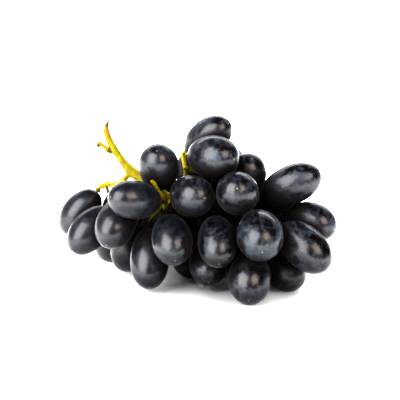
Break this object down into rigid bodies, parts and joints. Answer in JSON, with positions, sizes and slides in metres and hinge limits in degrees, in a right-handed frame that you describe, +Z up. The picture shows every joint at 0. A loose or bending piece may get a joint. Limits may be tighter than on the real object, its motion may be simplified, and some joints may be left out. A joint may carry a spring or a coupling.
{
  "type": "bunch of grapes",
  "caption": "Bunch of long oval black table grapes with a waxy bloom on a branching yellow-green stalk, lying on its side.",
  "frame": {"origin": "middle of the bounding box, at the height of the surface that the bunch lies on", "axes": "+X along the bunch to its right-hand end as seen from the front, +Y to its back, +Z up; the cut end of the stalk rises at -X"},
  "size_m": [0.1456, 0.121, 0.0821],
  "materials": {
    "berry_skin": "semi-gloss, under a thin waxy bloom",
    "stalk": "matte, yellow-green"
  },
  "bodies": {
    "root": {"berry_back_left_1": "berry_skin", "berry_back_left_2": "berry_skin", "berry_back_left_3": "berry_skin", "berry_back_left_4": "berry_skin", "berry_back_left_5": "berry_skin", "berry_back_right_1": "berry_skin", "berry_back_right_2": "berry_skin", "berry_back_right_3": "berry_skin", "berry_back_right_4": "berry_skin", "berry_back_right_5": "berry_skin", "berry_back_right_6": "berry_skin", "berry_front_1": "berry_skin", "berry_front_2": "berry_skin", "berry_front_3": "berry_skin", "berry_front_left_1": "berry_skin", "berry_front_left_2": "berry_skin", "berry_front_left_3": "berry_skin", "berry_front_right_1": "berry_skin", "berry_front_right_2": "berry_skin", "berry_front_right_3": "berry_skin", "berry_front_right_4": "berry_skin", "berry_left_1": "berry_skin", "berry_left_2": "berry_skin", "berry_left_top_1": "berry_skin", "berry_left_top_2": "berry_skin", "berry_left_under_1": "berry_skin", "berry_left_under_2": "berry_skin", "berry_left_under_3": "berry_skin", "berry_right_1": "berry_skin", "berry_right_2": "berry_skin", "berry_right_end_1": "berry_skin", "berry_right_end_2": "berry_skin", "berry_right_end_3": "berry_skin", "berry_right_end_4": "berry_skin", "berry_right_end_5": "berry_skin", "berry_right_top_1": "berry_skin", "berry_right_top_2": "berry_skin", "berry_shoulder_1": "berry_skin", "berry_shoulder_2": "berry_skin", "berry_top_1": "berry_skin", "berry_top_2": "berry_skin", "berry_top_3": "berry_skin", "stalk": "stalk"}
  },
  "joints": []
}
